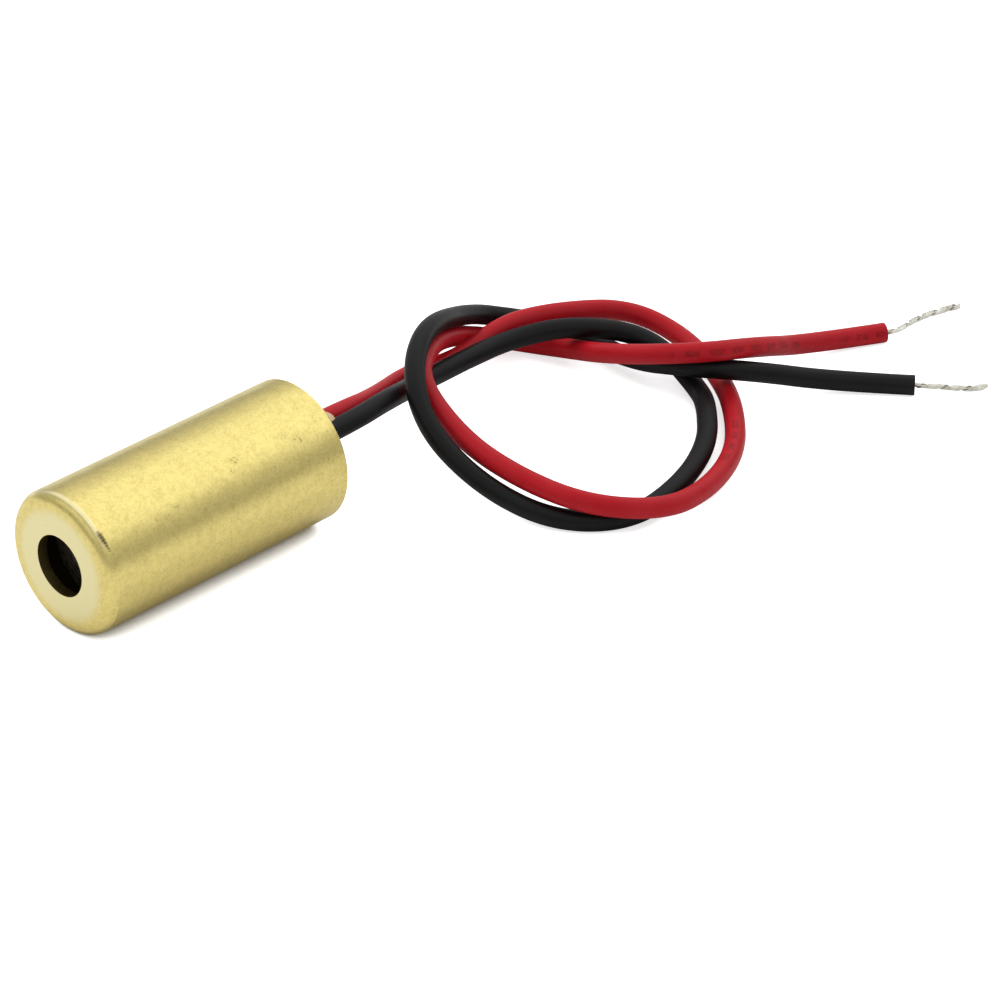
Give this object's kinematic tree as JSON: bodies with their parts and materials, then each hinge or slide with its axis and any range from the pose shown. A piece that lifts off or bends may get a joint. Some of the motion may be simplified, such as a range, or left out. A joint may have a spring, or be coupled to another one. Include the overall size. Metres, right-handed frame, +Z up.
{
  "type": "laser diode module",
  "caption": "Laser diode module: a small turned brass barrel with a round beam aperture, a resin-sealed rear and thin red and black leads tied in a loose knot, with bare tinned ends.",
  "frame": {"origin": "centre of the beam aperture, on the barrel's front face", "axes": "-Y along the beam, out of the aperture; +Y along the barrel towards its leads; +Z up as the module lies on its side"},
  "size_m": [0.0272, 0.0666, 0.009],
  "materials": {
    "barrel_brass": "turned and lightly brushed, satin",
    "black_anodised_aluminium": "black anodised",
    "plain_brass": "turned",
    "lens_glass": "polished",
    "gold_plated_steel": "gold plated",
    "nickel_steel": "nickel plated",
    "submount_ceramic": "metallised ceramic",
    "semiconductor": "polished die",
    "seal_glass": "fused",
    "board_laminate": "solder resist on glass-epoxy laminate",
    "land_copper": "bare copper",
    "resistor_body": "fired ceramic, tinned ends",
    "capacitor_ceramic": "fired ceramic, tinned ends",
    "package_epoxy": "moulded",
    "solder": "flowed",
    "tinned_copper": "tinned, twisted strands",
    "potting_resin": "cured resin, slightly glossy",
    "red_insulation": "extruded vinyl, satin",
    "black_insulation": "extruded vinyl, satin"
  },
  "bodies": {
    "root": {"barrel": "barrel_brass", "lens_cell": "black_anodised_aluminium", "collimating_lens": "lens_glass", "focus_spacer": "black_anodised_aluminium", "diode_holder": "plain_brass", "diode_stem": "gold_plated_steel", "diode_cap": "nickel_steel", "diode_window": "lens_glass", "laser_submount": "submount_ceramic", "laser_chip": "semiconductor", "monitor_photodiode": "semiconductor", "pin_glass_seals": "seal_glass", "anode_pin": "gold_plated_steel", "cathode_pin": "gold_plated_steel", "common_pin": "gold_plated_steel", "driver_board": "board_laminate", "board_lands": "land_copper", "bias_resistor": "resistor_body", "sense_resistor": "resistor_body", "filter_capacitor": "capacitor_ceramic", "driver_transistor": "package_epoxy", "feedback_transistor": "package_epoxy", "pin_solder": "solder", "lead_solder": "solder", "red_lead_root": "tinned_copper", "black_lead_root": "tinned_copper", "rear_potting": "potting_resin", "red_lead": "red_insulation", "black_lead": "black_insulation", "red_lead_tip": "tinned_copper", "black_lead_tip": "tinned_copper"}
  },
  "joints": []
}
